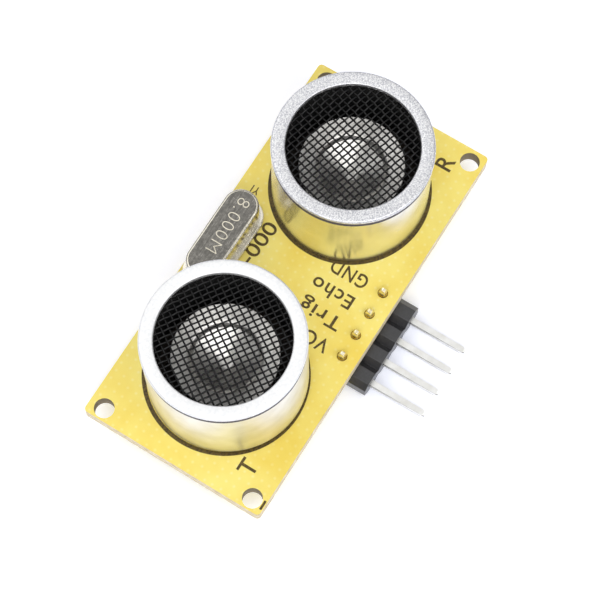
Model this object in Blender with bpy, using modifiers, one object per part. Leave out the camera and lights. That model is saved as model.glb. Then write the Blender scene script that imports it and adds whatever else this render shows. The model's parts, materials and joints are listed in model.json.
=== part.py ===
"""Ultrasonic distance sensor: two 16 mm transducers, a crystal and a right-angle header on a board.

The origin is the centre of the board's back face. +X runs along the board towards the
receiving transducer, +Y towards the crystal, and +Z is the way the transducers face.
"""
import math

import bmesh
import bpy
from mathutils import Matrix, Vector

MM = 0.001

# driving dimensions, in millimetres
BOARD_LENGTH = 43.2
BOARD_WIDTH = 19.8
BOARD_THICK = 1.6
BOARD_CORNER = 0.4
PRINT_BLOCK = 3.0                   # square block of print in the middle of the back
PRINT_THICK = 0.02
HOLE_RADIUS = 1.0
HOLE_SPACING_X = 40.64
HOLE_SPACING_Y = 16.76
DRILL_SHIFT = (-0.1, -0.1)          # the drilling sits this far off the routed outline
CAN_RADIUS = 7.8
CAN_HEIGHT = 10.3
MOUTH_RADIUS = 6.46
CONE_RADIUS = 5.2
CONE_RIM_Z = 5.6                    # above the can's foot
LEAD_SPACING = 10.0                 # between a transducer's two pins
PIN_PITCH = 2.54
PIN_SIDE = 0.64
PIN_COUNT = 4
HEADER_Y = -8.3                     # the row of header holes
HOUSING_DEPTH = 2.5
HOUSING_HEIGHT = 2.5
CRYSTAL_LENGTH = 10.2
CRYSTAL_WIDTH = 3.6
CRYSTAL_HEIGHT = 3.5
CRYSTAL_AT = (-0.3, 7.6)
CRYSTAL_LEAD_SPACING = 4.88
GAP = 0.03                          # clearance between neighbouring pieces
TAIL = 1.4                          # leads stand this far out of the board's back

TRANSDUCERS = {
    # foot centre, lean about X in degrees, height of the foot above the board
    "transmitter": {"at": (-11.33, 0.0), "lean": -1.35, "lift": 0.24},
    "receiver": {"at": (11.48, 0.19), "lean": 0.0, "lift": 0.1},
}

# colour, roughness, metallic
FINISHES = {
    "solder_mask_yellow": ((0.86, 0.62, 0.09), 0.38, 0.0),
    "spun_aluminium": ((0.80, 0.81, 0.82), 0.30, 1.0),
    "pressed_aluminium": ((0.72, 0.72, 0.70), 0.35, 1.0),
    "black_wire_cloth": ((0.02, 0.02, 0.02), 0.45, 0.6),
    "black_nylon": ((0.025, 0.025, 0.028), 0.6, 0.0),
    "phenolic": ((0.05, 0.04, 0.03), 0.6, 0.0),
    "tinned_steel": ((0.72, 0.71, 0.68), 0.28, 1.0),
    "enamelled_copper": ((0.62, 0.28, 0.14), 0.35, 1.0),
    "silicone": ((0.75, 0.74, 0.70), 0.55, 0.0),
    "piezo_ceramic": ((0.62, 0.58, 0.50), 0.5, 0.0),
    "nickel_silver": ((0.55, 0.53, 0.49), 0.28, 1.0),
    "quartz": ((0.85, 0.88, 0.90), 0.1, 0.0),
    "sealing_glass": ((0.20, 0.24, 0.26), 0.15, 0.0),
    "header_nylon": ((0.015, 0.015, 0.017), 0.5, 0.0),
    "tinned_brass": ((0.84, 0.82, 0.76), 0.22, 1.0),
    "solder": ((0.70, 0.70, 0.70), 0.25, 1.0),
    "moulding_epoxy": ((0.03, 0.03, 0.033), 0.55, 0.0),
    "resistor_glaze": ((0.03, 0.03, 0.035), 0.3, 0.0),
    "capacitor_ceramic": ((0.50, 0.35, 0.22), 0.45, 0.0),
}

for old in list(bpy.data.objects):
    bpy.data.objects.remove(old, do_unlink=True)

parts = bpy.data.collections.new("ultrasonic_distance_sensor")
cutters = bpy.data.collections.new("cutters")
bpy.context.scene.collection.children.link(parts)
bpy.context.scene.collection.children.link(cutters)


def finish(name):
    """The material of this name, made the first time it is asked for."""
    found = bpy.data.materials.get(name)
    if found:
        return found
    colour, roughness, metallic = FINISHES[name]
    made = bpy.data.materials.new(name)
    made.use_nodes = True
    shader = made.node_tree.nodes["Principled BSDF"]
    shader.inputs["Base Color"].default_value = (*colour, 1.0)
    shader.inputs["Roughness"].default_value = roughness
    shader.inputs["Metallic"].default_value = metallic
    return made


def place(name, mesh, material, at=(0, 0, 0), turn=(0, 0, 0), parent=None):
    """Put a mesh into the parts collection; at is in millimetres, turn in degrees."""
    piece = bpy.data.objects.new(name, mesh)
    parts.objects.link(piece)
    piece.location = Vector(at) * MM
    piece.rotation_euler = [math.radians(a) for a in turn]
    piece.parent = parent
    mesh.materials.clear()
    mesh.materials.append(finish(material))
    mesh.shade_smooth()
    mesh.set_sharp_from_angle(angle=math.radians(35))
    return piece


def cutter(name, mesh, at=(0, 0, 0), turn=(0, 0, 0), parent=None):
    """A wire-only object that a Boolean reads."""
    tool = bpy.data.objects.new(name, mesh)
    cutters.objects.link(tool)
    tool.location = Vector(at) * MM
    tool.rotation_euler = [math.radians(a) for a in turn]
    tool.parent = parent
    tool.hide_render = True
    tool.display_type = "WIRE"
    return tool


def boolean(piece, tool, operation):
    step = piece.modifiers.new(tool.name, "BOOLEAN")
    step.operation = operation
    step.solver = "EXACT"
    step.object = tool


def mesh_of(name, bm):
    mesh = bpy.data.meshes.new(name)
    bm.to_mesh(mesh)
    bm.free()
    return mesh


def cylinders(name, centres, radius, low, high, segments):
    """Upright cylinders in one mesh; centres, radius and heights are in millimetres."""
    bm = bmesh.new()
    for x, y in centres:
        middle = Matrix.Translation(Vector((x, y, (low + high) / 2)) * MM)
        bmesh.ops.create_cone(bm, cap_ends=True, segments=segments, radius1=radius * MM,
                              radius2=radius * MM, depth=(high - low) * MM, matrix=middle)
    return mesh_of(name, bm)


def arc(centre, radius, start, end, count):
    """Points along an arc, its angles in degrees."""
    steps = [math.radians(start + (end - start) * i / count) for i in range(count + 1)]
    return [(centre[0] + radius * math.cos(a), centre[1] + radius * math.sin(a)) for a in steps]


def turned(name, profile, material, segments=32, closed=True, **where):
    """A profile of (radius, height) points in millimetres, spun round Z by a Screw modifier.

    It runs down the outer side. An open profile starts and ends on the axis.
    """
    bm = bmesh.new()
    points = [bm.verts.new((r * MM, 0, z * MM)) for r, z in profile]
    for i in range(len(points) - 1):
        bm.edges.new((points[i], points[i + 1]))
    if closed:
        bm.edges.new((points[-1], points[0]))
    piece = place(name, mesh_of(name, bm), material, **where)
    spin = piece.modifiers.new("Screw", "SCREW")
    spin.steps = segments
    spin.render_steps = segments
    spin.use_merge_vertices = True
    spin.merge_threshold = 0.000001
    spin.use_smooth_shade = True
    return piece


def sheet(name, loops, thick):
    """A flat outline with its holes, in millimetres, extruded to a closed mesh about z = 0."""
    curve = bpy.data.curves.new(name, "CURVE")
    curve.dimensions = "2D"
    curve.fill_mode = "BOTH"
    curve.extrude = thick / 2 * MM
    for loop in loops:
        spline = curve.splines.new("POLY")
        spline.points.add(len(loop) - 1)
        spline.use_cyclic_u = True
        for point, (x, y) in zip(spline.points, loop):
            point.co = (x * MM, y * MM, 0, 1)
    return welded(name, curve)


def welded(name, curve):
    """The closed mesh of a curve, its caps joined to its sides."""
    holder = bpy.data.objects.new(name, curve)
    bpy.context.scene.collection.objects.link(holder)
    bpy.context.view_layer.update()
    evaluated = holder.evaluated_get(bpy.context.evaluated_depsgraph_get())
    mesh = bpy.data.meshes.new_from_object(evaluated)
    bpy.data.objects.remove(holder)
    bm = bmesh.new()
    bm.from_mesh(mesh)
    bmesh.ops.remove_doubles(bm, verts=bm.verts, dist=1e-7)
    bmesh.ops.recalc_face_normals(bm, faces=bm.faces)
    bm.to_mesh(mesh)
    bm.free()
    mesh.name = name
    return mesh


def wire(name, points, radius, material, **where):
    """A thin round wire through points in millimetres."""
    curve = bpy.data.curves.new(name, "CURVE")
    curve.dimensions = "3D"
    curve.bevel_depth = radius * MM
    curve.bevel_resolution = 1
    curve.use_fill_caps = True
    spline = curve.splines.new("POLY")
    spline.points.add(len(points) - 1)
    for point, co in zip(spline.points, points):
        point.co = (*(Vector(co) * MM), 1)
    return place(name, welded(name, curve), material, **where)


def stadium(name, length, width, low, high, top_round=0.0, segments=24):
    """An upright block with round ends, in millimetres."""
    straight = (length - width) / 2
    bm = bmesh.new()
    middle = Matrix.Translation((0, 0, (low + high) / 2 * MM))
    # the odd half step keeps two sides of the circle parallel to X
    spin = Matrix.Rotation(math.pi / segments, 4, "Z")
    bmesh.ops.create_cone(bm, cap_ends=True, segments=segments, radius1=width / 2 * MM,
                          radius2=width / 2 * MM, depth=(high - low) * MM, matrix=middle @ spin)
    for vert in bm.verts:
        vert.co.x += math.copysign(straight * MM, vert.co.x)
    if top_round:
        rim = [e for e in bm.edges if all(v.co.z > (high - 0.01) * MM for v in e.verts)]
        bmesh.ops.bevel(bm, geom=rim, offset=top_round * MM, segments=2, profile=0.5,
                        affect="EDGES", clamp_overlap=True)
    return mesh_of(name, bm)


def block(name, size, centre, draft=0.0, chamfer=0.0):
    """A box whose top and bottom are drawn in by draft, in millimetres, as a moulding is."""
    bm = bmesh.new()
    bmesh.ops.create_cube(bm, size=1.0)
    if draft:
        bmesh.ops.bisect_plane(bm, geom=bm.verts[:] + bm.edges[:] + bm.faces[:],
                               plane_co=(0, 0, 0), plane_no=(0, 0, 1))
    for vert in bm.verts:
        inset = draft if abs(vert.co.z) > 0.4 else 0.0
        x = math.copysign(size[0] / 2 - inset, vert.co.x)
        y = math.copysign(size[1] / 2 - inset, vert.co.y)
        vert.co = (Vector((x, y, vert.co.z * size[2])) + Vector(centre)) * MM
    if chamfer:
        bmesh.ops.bevel(bm, geom=bm.edges[:], offset=chamfer * MM, segments=1, affect="EDGES")
    return mesh_of(name, bm)


# places that several pieces share

mount_holes = [(DRILL_SHIFT[0] + sx * HOLE_SPACING_X / 2, DRILL_SHIFT[1] + sy * HOLE_SPACING_Y / 2)
               for sx in (-1, 1) for sy in (-1, 1)]
header_x = [DRILL_SHIFT[0] + (i - (PIN_COUNT - 1) / 2) * PIN_PITCH for i in range(PIN_COUNT)]
header_holes = [(x, HEADER_Y) for x in header_x]
crystal_holes = [(CRYSTAL_AT[0] + s * CRYSTAL_LEAD_SPACING / 2, CRYSTAL_AT[1]) for s in (-1, 1)]
transducer_holes = [(item["at"][0], item["at"][1] + s * LEAD_SPACING / 2)
                    for item in TRANSDUCERS.values() for s in (-1, 1)]


def board():
    """The glass-epoxy board, drilled for the corner screws and for every lead."""
    bm = bmesh.new()
    bmesh.ops.create_cube(bm, size=1.0)
    for vert in bm.verts:
        vert.co.x *= BOARD_LENGTH * MM
        vert.co.y *= BOARD_WIDTH * MM
        vert.co.z = (PRINT_THICK if vert.co.z < 0 else BOARD_THICK) * MM
    upright = [e for e in bm.edges if abs(e.verts[0].co.z - e.verts[1].co.z) > 0.5 * MM]
    bmesh.ops.bevel(bm, geom=upright, offset=BOARD_CORNER * MM, segments=3, profile=0.5,
                    affect="EDGES")
    # the printed block between the chips stands proud of the back, and its face is the datum
    for normal in ((1, 0, 0), (0, 1, 0)):
        for side in (-1, 1):
            bmesh.ops.bisect_plane(bm, geom=bm.verts[:] + bm.edges[:] + bm.faces[:],
                                   plane_co=Vector(normal) * side * PRINT_BLOCK / 2 * MM,
                                   plane_no=normal)
    bm.faces.ensure_lookup_table()
    block_face = min(bm.faces, key=lambda f: f.calc_center_median().length)
    lower = bmesh.ops.extrude_face_region(bm, geom=[block_face])["geom"]
    bmesh.ops.translate(bm, vec=(0, 0, -PRINT_THICK * MM),
                        verts=[item for item in lower if isinstance(item, bmesh.types.BMVert)])
    bmesh.ops.delete(bm, geom=[block_face], context="FACES_ONLY")
    piece = place("pcb", mesh_of("pcb", bm), "solder_mask_yellow")
    low, high = -1.0, BOARD_THICK + 1.0
    drills = (("screw_drill", mount_holes, HOLE_RADIUS, 24),
              ("header_drill", header_holes, 0.52, 16),
              ("crystal_drill", crystal_holes, 0.36, 12),
              ("transducer_drill", transducer_holes, 0.52, 16))
    for name, centres, radius, segments in drills:
        tool = cutter(name, cylinders(name, centres, radius, low, high, segments))
        boolean(piece, tool, "DIFFERENCE")


def transducer(name, at, lean, lift):
    """One 16 mm open transducer, built up from its foot at local z = 0."""
    stand = bpy.data.objects.new(name + "_stand", None)
    parts.objects.link(stand)
    stand.location = Vector((at[0], at[1], BOARD_THICK + lift)) * MM
    stand.rotation_euler = (math.radians(lean), 0, 0)

    bore = CAN_RADIUS - 0.38
    rim = CAN_RADIUS + 0.06
    lip = CAN_HEIGHT - 0.45
    can = [(rim - 0.16, CAN_HEIGHT), (rim - 0.04, CAN_HEIGHT - 0.05), (rim, CAN_HEIGHT - 0.16),
           (rim, CAN_HEIGHT - 0.36), (rim - 0.18, CAN_HEIGHT - 0.42),
           (rim - 0.18, CAN_HEIGHT - 0.52), (CAN_RADIUS, CAN_HEIGHT - 0.6),
           (CAN_RADIUS, 0.18), (CAN_RADIUS - 0.12, 0.0), (bore, 0.0), (bore, lip),
           (MOUTH_RADIUS + 0.04, lip), (MOUTH_RADIUS, lip + 0.1),
           (MOUTH_RADIUS, CAN_HEIGHT - 0.1), (MOUTH_RADIUS + 0.1, CAN_HEIGHT)]
    turned(name + "_can", can, "spun_aluminium", segments=48, parent=stand)

    screen_top = lip - GAP
    screen = [(0, screen_top), (bore - GAP, screen_top), (bore - GAP, screen_top - 0.3),
              (0, screen_top - 0.3)]
    turned(name + "_screen", screen, "black_wire_cloth", closed=False, parent=stand)

    plug_low, plug_high, boss_high = 0.3, 1.3, 1.6
    inner = bore - 0.6
    sleeve = [(bore - GAP, screen_top - 0.3 - GAP), (bore - GAP, plug_high + GAP),
              (inner, plug_high + GAP), (inner, screen_top - 0.3 - GAP)]
    turned(name + "_sleeve", sleeve, "black_nylon", parent=stand)

    base = [(0, boss_high), (inner - 0.2, boss_high), (inner - 0.2, plug_high),
            (bore - GAP, plug_high), (bore - GAP, plug_low), (0, plug_low)]
    disc = turned(name + "_base", base, "phenolic", closed=False, parent=stand)
    pins = [(0, s * LEAD_SPACING / 2) for s in (-1, 1)]
    drill = cylinders(name + "_base_drill", pins, 0.38, -1, 3, 16)
    boolean(disc, cutter(name + "_base_drill", drill, parent=stand), "DIFFERENCE")

    tail = -(lift + BOARD_THICK + TAIL)
    collar = boss_high + GAP
    pin = [(0, collar + 0.5), (0.3, collar + 0.5), (0.35, collar + 0.42), (0.35, collar + 0.2),
           (0.6, collar + 0.2), (0.6, collar), (0.35, collar), (0.35, tail + 0.12),
           (0.22, tail), (0, tail)]
    for number, (x, y) in enumerate(pins, 1):
        turned(f"{name}_pin_{number}", pin, "tinned_steel", segments=14, closed=False,
               at=(x, y, 0), parent=stand)

    cushion_low = boss_high + GAP
    cushion = [(3.4, cushion_low + 0.6), (3.4, cushion_low), (2.6, cushion_low),
               (2.6, cushion_low + 0.6)]
    turned(name + "_cushion", cushion, "silicone", segments=24, parent=stand)
    piezo_low = cushion_low + 0.6 + GAP
    flat_disc(name + "_piezo", 4.0, piezo_low, piezo_low + 0.4, "piezo_ceramic", stand)
    plate_low = piezo_low + 0.4 + GAP
    flat_disc(name + "_plate", 4.4, plate_low, plate_low + 0.25, "pressed_aluminium", stand)

    foot = plate_low + 0.25 + GAP
    skin = 0.2
    shoulder = (3.55, CONE_RIM_Z - 0.62)
    cone = [(0, foot + skin), (0.9, foot + skin), (1.15, foot + skin + 0.12),
            (shoulder[0] - 0.1, shoulder[1] - 0.1), shoulder,
            (CONE_RADIUS - 0.08, CONE_RIM_Z), (CONE_RADIUS, CONE_RIM_Z - 0.06),
            (CONE_RADIUS - 0.02, CONE_RIM_Z - skin), (shoulder[0] + 0.1, shoulder[1] - skin),
            (1.2, foot + 0.1), (1.0, foot), (0, foot)]
    turned(name + "_cone", cone, "pressed_aluminium", segments=40, closed=False, parent=stand)

    # each lead leaves its pin below the collar's top and ends short of the ceramic's edge
    for number, side in enumerate((-1, 1), 1):
        top = collar + 0.5 + 0.12 + GAP
        route = [(0, side * 5.0, top), (0.5, side * 4.75, top + 0.12), (0.9, side * 4.4, top + 0.1),
                 (1.0, side * 4.15, piezo_low + 0.2)]
        wire(f"{name}_lead_{number}", route, 0.09, "enamelled_copper", parent=stand)


def flat_disc(name, radius, low, high, material, parent):
    profile = [(0, high), (radius, high), (radius, low), (0, low)]
    turned(name, profile, material, closed=False, parent=parent)


def crystal():
    """The low flat-topped quartz crystal, its can welded to a flanged base."""
    stand = bpy.data.objects.new("crystal_stand", None)
    parts.objects.link(stand)
    stand.location = Vector((*CRYSTAL_AT, BOARD_THICK)) * MM
    flange_low = 0.62
    can = place("crystal_can", stadium("crystal_can", CRYSTAL_LENGTH, CRYSTAL_WIDTH, flange_low,
                                       CRYSTAL_HEIGHT, top_round=0.28), "nickel_silver", parent=stand)
    flange = cutter("crystal_flange", stadium("crystal_flange", CRYSTAL_LENGTH + 0.7,
                    CRYSTAL_WIDTH + 0.7, flange_low - 0.001, flange_low + 0.22), parent=stand)
    boolean(can, flange, "UNION")
    hollow = cutter("crystal_hollow", stadium("crystal_hollow", CRYSTAL_LENGTH - 0.5,
                    CRYSTAL_WIDTH - 0.5, -1.0, CRYSTAL_HEIGHT - 0.25), parent=stand)
    boolean(can, hollow, "DIFFERENCE")

    base = place("crystal_base", stadium("crystal_base", CRYSTAL_LENGTH + 0.85,
                 CRYSTAL_WIDTH + 0.8, 0.12, flange_low - GAP), "nickel_silver", parent=stand)
    seats = [(s * CRYSTAL_LEAD_SPACING / 2, 0) for s in (-1, 1)]
    drill = cylinders("crystal_base_drill", seats, 0.72, -1, 3, 16)
    boolean(base, cutter("crystal_base_drill", drill, parent=stand), "DIFFERENCE")

    blank = block("crystal_blank", (7.6, 1.9, 0.22), (0, 0, 1.9), chamfer=0.06)
    place("crystal_blank", blank, "quartz", parent=stand)
    head = 1.9 - 0.11 - GAP
    tail = -(BOARD_THICK + TAIL)
    lead = [(0, head), (0.5, head), (0.5, head - 0.15), (0.215, head - 0.15),
            (0.215, tail + 0.08), (0.14, tail), (0, tail)]
    seal = [(0.69, 0.5), (0.69, 0.2), (0.245, 0.2), (0.245, 0.5)]
    for number, (x, y) in enumerate(seats, 1):
        turned(f"crystal_lead_{number}", lead, "tinned_steel", segments=12, closed=False,
               at=(x, y, 0), parent=stand)
        turned(f"crystal_seal_{number}", seal, "sealing_glass", segments=16, at=(x, y, 0),
               parent=stand)


def housing_outline():
    """The moulding's zigzag section: an eight-sided segment round each pin."""
    half = PIN_PITCH / 2
    cut = 0.62
    top = -GAP
    low = top - HOUSING_HEIGHT
    upper, lower = [], []
    for x in header_x:
        upper += [(x - half, top - cut), (x - half + cut, top), (x + half - cut, top)]
        lower += [(x - half, low + cut), (x - half + cut, low), (x + half - cut, low)]
    upper.append((header_x[-1] + half, top - cut))
    lower.append((header_x[-1] + half, low + cut))
    return upper[::-1] + lower


def header():
    """The four-way right-angle header under the board's edge."""
    axis_z = -GAP - HOUSING_HEIGHT / 2
    front_y = HEADER_Y - 0.95 - HOUSING_DEPTH
    clear = PIN_SIDE / 2 + GAP
    holes = [[(x - clear, axis_z - clear), (x + clear, axis_z - clear),
              (x + clear, axis_z + clear), (x - clear, axis_z + clear)] for x in header_x]
    mesh = sheet("header_housing", [housing_outline()] + holes, HOUSING_DEPTH)
    place("header_housing", mesh, "header_nylon", at=(0, front_y + HOUSING_DEPTH / 2, 0),
          turn=(90, 0, 0))

    half = PIN_SIDE / 2
    nose, point = 0.35, half * 0.5
    tip_y = front_y - 6.1
    top_z = BOARD_THICK + 1.0
    inner, outer = 0.3, 0.3 + PIN_SIDE
    bend = (HEADER_Y - half - inner, axis_z + half + inner)
    outline = [(tip_y, axis_z + point), (tip_y, axis_z - point), (tip_y + nose, axis_z - half)]
    outline += arc(bend, outer, -90, 0, 5)
    outline += [(HEADER_Y + half, top_z - nose), (HEADER_Y + point, top_z),
                (HEADER_Y - point, top_z), (HEADER_Y - half, top_z - nose)]
    outline += arc(bend, inner, 0, -90, 4)
    outline += [(tip_y + nose, axis_z + half)]
    for number, x in enumerate(header_x, 1):
        mesh = sheet(f"header_pin_{number}", [outline], PIN_SIDE)
        for vert in mesh.vertices:
            if vert.co.x < (tip_y + 0.01) * MM or vert.co.y > (top_z - 0.01) * MM:
                vert.co.z *= 0.5
        place(f"header_pin_{number}", mesh, "tinned_brass", at=(x, 0, 0), turn=(90, 0, 90))


def gull_wings(name, centres, side_y, reach, thick, width, body_z):
    """A row of gull-wing leads in one mesh, each bent down to the board and out."""
    foot_y = reach - 0.62
    knee_y = side_y + 0.22
    line = [(side_y - 0.4, body_z), (knee_y, body_z), (foot_y, thick / 2), (reach, thick / 2)]
    bm = bmesh.new()
    for side in (-1, 1):
        for x in centres:
            rings = []
            for y, z in line:
                rings.append([bm.verts.new(Vector((x + dx, side * y, z + dz)) * MM)
                              for dx, dz in ((-width / 2, -thick / 2), (width / 2, -thick / 2),
                                             (width / 2, thick / 2), (-width / 2, thick / 2))])
            for near, far in zip(rings, rings[1:]):
                for i in range(4):
                    j = (i + 1) % 4
                    bm.faces.new((near[i], near[j], far[j], far[i]))
            bm.faces.new(rings[0][::-1])
            bm.faces.new(rings[-1])
    bmesh.ops.recalc_face_normals(bm, faces=bm.faces)
    return mesh_of(name, bm)


def chip_package(name, length, width, height, reach, rows, at, turn):
    """A moulded chip on the board's back, its leads joined into it."""
    stand_off = 0.12
    body = block(name, (length, width, height - stand_off),
                 (0, 0, (height + stand_off) / 2), draft=0.12)
    piece = place(name, body, "moulding_epoxy", at=(at[0], at[1], -GAP), turn=(180, 0, turn))
    tool = cutter(name + "_leads", gull_wings(name + "_leads", rows, width / 2, reach, 0.2, 0.42,
                                              (height + stand_off) / 2),
                  at=(at[0], at[1], -GAP), turn=(180, 0, turn))
    boolean(piece, tool, "UNION")


def transistor(name, at):
    """A small three-legged package: one leg on one side and two on the other."""
    stand_off, height = 0.08, 1.0
    middle = (height + stand_off) / 2
    body = block(name, (2.9, 1.3, height - stand_off), (0, 0, middle), draft=0.08)
    piece = place(name, body, "moulding_epoxy", at=(*at, -GAP), turn=(180, 0, 0))
    for suffix, rows, side in (("_one", [0.0], 1), ("_two", [-0.95, 0.95], -1)):
        mesh = gull_wings(name + suffix, rows, 0.65, 1.25, 0.14, 0.4, middle)
        keep = bmesh.new()
        keep.from_mesh(mesh)
        away = [v for v in keep.verts if v.co.y * side < 0]
        bmesh.ops.delete(keep, geom=away, context="VERTS")
        keep.to_mesh(mesh)
        keep.free()
        boolean(piece, cutter(name + suffix, mesh, at=(*at, -GAP), turn=(180, 0, 0)), "UNION")


def chip(name, height, material, at, turn=0):
    """A two-ended chip part, a little thicker over its end caps."""
    length, width, cap, proud = 1.6, 0.8, 0.3, 0.03
    half = length / 2
    top = [(half, height), (half - cap, height), (half - cap, height - proud),
           (cap - half, height - proud), (cap - half, height), (-half, height)]
    bottom = [(-half, 0), (cap - half, 0), (cap - half, proud), (half - cap, proud),
              (half - cap, 0), (half, 0)]
    mesh = sheet(name, [top + bottom], width)
    mesh.transform(Matrix.Rotation(math.pi / 2, 4, "X"))
    place(name, mesh, material, at=(*at, -GAP), turn=(180, 0, turn))


def solder(name, at, lead_radius, radius, height, front=False):
    """A fillet of solder round a lead, on the board's back or on its front."""
    inner = lead_radius + GAP
    ring = [(inner + 0.08, height), (inner + 0.14, height * 0.6), (inner + 0.3, height * 0.3),
            (radius, 0.04), (radius, 0), (inner, 0), (inner, height)]
    z, turn = (BOARD_THICK + GAP, 0) if front else (-GAP, 180)
    turned(name, ring, "solder", segments=16, at=(*at, z), turn=(turn, 0, 0))


board()
for transducer_name, settings in TRANSDUCERS.items():
    transducer(transducer_name, **settings)
crystal()
header()

eight_rows = [(i - 3.5) * 1.27 for i in range(8)]
seven_rows = [(i - 3.0) * 1.27 for i in range(7)]
chip_package("driver_ic", 9.9, 3.9, 1.75, 3.0, eight_rows, at=(-16.7, 0.0), turn=90)
chip_package("controller_ic", 8.65, 3.9, 1.75, 3.0, seven_rows, at=(-5.2, -0.4), turn=90)
chip_package("amplifier_ic", 8.65, 3.9, 1.75, 3.0, seven_rows, at=(5.4, -0.4), turn=90)
transistor("switch_transistor", at=(15.2, 3.6))

CHIPS = (("capacitor_1", (-5.2, 7.7), 0), ("capacitor_2", (4.8, 7.7), 0),
         ("capacitor_3", (17.4, -3.6), 90), ("resistor_1", (14.6, -0.2), 90),
         ("resistor_2", (16.6, -0.2), 90), ("resistor_3", (15.0, -3.6), 90),
         ("resistor_4", (0.1, 3.4), 90), ("resistor_5", (0.1, -4.2), 90))
for chip_name, chip_at, chip_turn in CHIPS:
    ceramic = chip_name.startswith("capacitor")
    chip(chip_name, 0.8 if ceramic else 0.45,
         "capacitor_ceramic" if ceramic else "resistor_glaze", chip_at, chip_turn)

for index, centre in enumerate(header_holes, 1):
    solder(f"header_joint_{index}", centre, PIN_SIDE / 2 * math.sqrt(2), 0.72, 0.4, front=True)
for index, centre in enumerate(crystal_holes, 1):
    solder(f"crystal_joint_{index}", centre, 0.215, 0.8, 0.75)
for index, centre in enumerate(transducer_holes, 1):
    # a leaning pin needs a little more room in its fillet
    solder(f"transducer_joint_{index}", centre, 0.35 + 0.09, 1.05, 0.9)

print("pieces:", len([o for o in parts.objects if o.type == "MESH"]))
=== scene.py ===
import json
import math

import bpy
from mathutils import Matrix, Quaternion, Vector


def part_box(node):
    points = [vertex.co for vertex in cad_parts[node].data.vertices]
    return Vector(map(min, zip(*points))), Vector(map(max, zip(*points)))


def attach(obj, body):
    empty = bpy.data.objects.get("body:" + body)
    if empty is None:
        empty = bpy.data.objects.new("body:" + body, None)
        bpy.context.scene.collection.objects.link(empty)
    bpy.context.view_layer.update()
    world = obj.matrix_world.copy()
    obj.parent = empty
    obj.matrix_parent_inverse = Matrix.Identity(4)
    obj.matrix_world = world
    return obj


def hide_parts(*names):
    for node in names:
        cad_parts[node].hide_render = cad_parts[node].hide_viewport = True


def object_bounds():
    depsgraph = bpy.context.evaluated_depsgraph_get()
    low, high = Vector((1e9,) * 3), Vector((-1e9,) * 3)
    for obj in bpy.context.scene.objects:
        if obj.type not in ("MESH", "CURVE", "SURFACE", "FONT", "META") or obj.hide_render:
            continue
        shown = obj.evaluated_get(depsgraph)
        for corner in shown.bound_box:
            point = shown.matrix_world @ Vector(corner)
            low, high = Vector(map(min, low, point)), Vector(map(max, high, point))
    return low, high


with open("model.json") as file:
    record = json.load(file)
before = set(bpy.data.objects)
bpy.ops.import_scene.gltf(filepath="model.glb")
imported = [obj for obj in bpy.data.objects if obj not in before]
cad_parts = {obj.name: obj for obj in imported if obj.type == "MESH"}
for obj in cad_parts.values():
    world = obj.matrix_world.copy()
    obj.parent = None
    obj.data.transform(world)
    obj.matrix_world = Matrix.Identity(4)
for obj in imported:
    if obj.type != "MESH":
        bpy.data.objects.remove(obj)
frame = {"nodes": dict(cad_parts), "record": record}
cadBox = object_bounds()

mm = 0.001
record = frame["record"]
body = "root"
bpy.ops.object.select_all(action="DESELECT")


# colours and nodes

def linear(hexText):
    channels = [int(hexText[i:i + 2], 16) / 255 for i in (0, 2, 4)]
    return tuple(c / 12.92 if c <= 0.04045 else ((c + 0.055) / 1.055) ** 2.4
                 for c in channels) + (1.0,)


def addNode(tree, kind, settings=None, links=None):
    made = tree.nodes.new("ShaderNode" + kind)
    for name, value in (settings or {}).items():
        if name == "stops":
            ramp = made.color_ramp
            while len(ramp.elements) < len(value):
                ramp.elements.new(1.0)
            for element, (place, colour) in zip(ramp.elements, value):
                element.position = place
                element.color = colour
        elif isinstance(name, int) or name in made.inputs:
            made.inputs[name].default_value = value
        else:
            setattr(made, name, value)
    for name, source in (links or {}).items():
        tree.links.new(source, made.inputs[name])
    return made


def newMaterial(name, settings):
    material = bpy.data.materials.new(name)
    material.use_nodes = True
    tree = material.node_tree
    shader = tree.nodes["Principled BSDF"]
    for socket, value in settings.items():
        shader.inputs[socket].default_value = value
    return material, tree, shader


def perMm(size):
    return 1 / (size * mm)  # texture scale whose cell is that many millimetres


def wireUp(tree, shader, colour, gloss, bump):
    # the three outputs that most finishes feed to their shader
    tree.links.new(colour.outputs["Color"], shader.inputs["Base Color"])
    if gloss:
        tree.links.new(gloss.outputs[0], shader.inputs["Roughness"])
    tree.links.new(bump.outputs[0], shader.inputs["Normal"])


black = (0.0, 0.0, 0.0, 1.0)


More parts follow.
